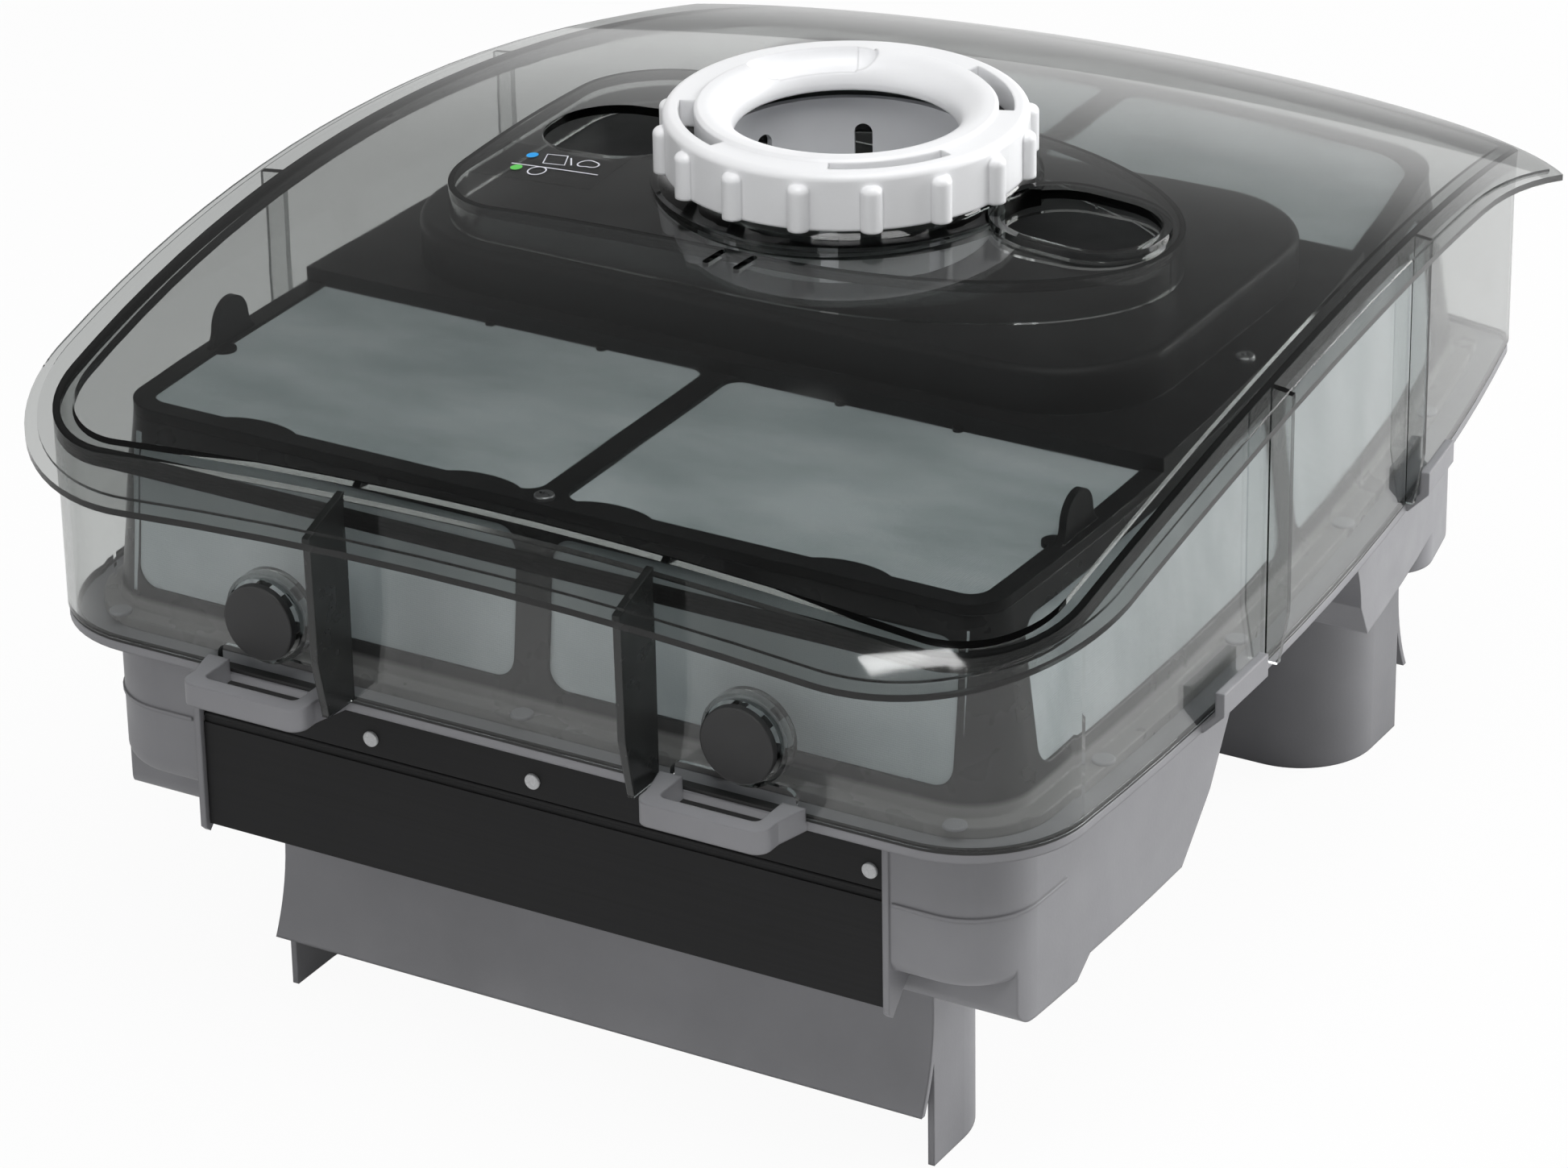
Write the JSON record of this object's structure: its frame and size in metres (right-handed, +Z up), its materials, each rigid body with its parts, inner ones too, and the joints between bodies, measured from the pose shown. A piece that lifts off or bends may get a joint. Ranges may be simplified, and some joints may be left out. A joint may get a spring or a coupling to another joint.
{
  "type": "pool cleaner filter unit",
  "caption": "Removable filter and suction unit of a pool-cleaning robot: grey tray with suction ducts, smoke-clear domed cover, mesh filter and white locking ring.",
  "frame": {"origin": "middle of the plan at the floor, under the ducts' lower edges", "axes": "+Z up, front with the flap and pull loops at -Y, +X to the right seen from the front"},
  "size_m": [0.381, 0.4815, 0.2727],
  "materials": {
    "base_grey": "fine moulded texture",
    "cover_smoke": "polished smoke tint",
    "ring_white": "satin moulded",
    "tube_grey": "satin moulded",
    "frame_black": "satin moulded",
    "valve_black": "fine matte",
    "flap_black": "brushed film",
    "mesh_fabric": "fine woven mesh",
    "pin_clear": "milky clear",
    "rubber_black": "matte",
    "screw_steel": "plain"
  },
  "bodies": {
    "base": {"base_tray": "base_grey", "cover_seal": "rubber_black", "outlet_tube": "tube_grey", "tube_seal": "rubber_black", "front_duct": "base_grey", "rear_duct": "base_grey", "front_inlet_rod": "screw_steel", "rear_inlet_rod": "screw_steel", "flap_strip": "flap_black", "flap_pins": "pin_clear", "filter_frame": "frame_black", "filter_top": "frame_black", "filter_screws": "screw_steel", "frame_rivets": "frame_black", "mesh_front_left": "mesh_fabric", "mesh_front_right": "mesh_fabric", "mesh_rear_left": "mesh_fabric", "mesh_rear_right": "mesh_fabric", "mesh_side_front_left": "mesh_fabric", "mesh_side_front_right": "mesh_fabric", "mesh_side_rear_left": "mesh_fabric", "mesh_side_rear_right": "mesh_fabric", "mesh_top_front_left": "mesh_fabric", "mesh_top_front_right": "mesh_fabric", "mesh_top_rear_left": "mesh_fabric", "mesh_top_rear_right": "mesh_fabric"},
    "cover": {"cover": "cover_smoke", "neck_seal": "rubber_black"},
    "ring": {"lock_ring": "ring_white"},
    "left_valve": {"left_drain_valve": "valve_black"},
    "right_valve": {"right_drain_valve": "valve_black"},
    "flap": {"front_flap": "flap_black"},
    "front_inlet": {"front_inlet_flap": "flap_black"},
    "rear_inlet": {"rear_inlet_flap": "flap_black"}
  },
  "joints": [
    {"name": "cover_lift", "type": "slide", "parent": "base", "child": "cover", "axis": [0, 0, 1], "range_m": [0, 0.12]},
    {"name": "ring_twist", "type": "hinge", "parent": "cover", "child": "ring", "pos_m": [0, -0.006, 0.262], "axis": [0, 0, 1], "range_deg": [0, 40]},
    {"name": "left_valve_slide", "type": "slide", "parent": "cover", "child": "left_valve", "axis": [0, 1, 0], "range_m": [0, 0.003]},
    {"name": "right_valve_slide", "type": "slide", "parent": "cover", "child": "right_valve", "axis": [0, 1, 0], "range_m": [0, 0.003]},
    {"name": "front_flap_swing", "type": "hinge", "parent": "base", "child": "flap", "pos_m": [0, -0.2013, 0.1135], "axis": [-1, 0, 0], "range_deg": [0, 40]},
    {"name": "front_inlet_swing", "type": "hinge", "parent": "base", "child": "front_inlet", "pos_m": [0, -0.1155, 0.0961], "axis": [-1, 0, 0], "range_deg": [0, 70]},
    {"name": "rear_inlet_swing", "type": "hinge", "parent": "base", "child": "rear_inlet", "pos_m": [0, 0.1155, 0.0961], "axis": [1, 0, 0], "range_deg": [0, 70]}
  ]
}
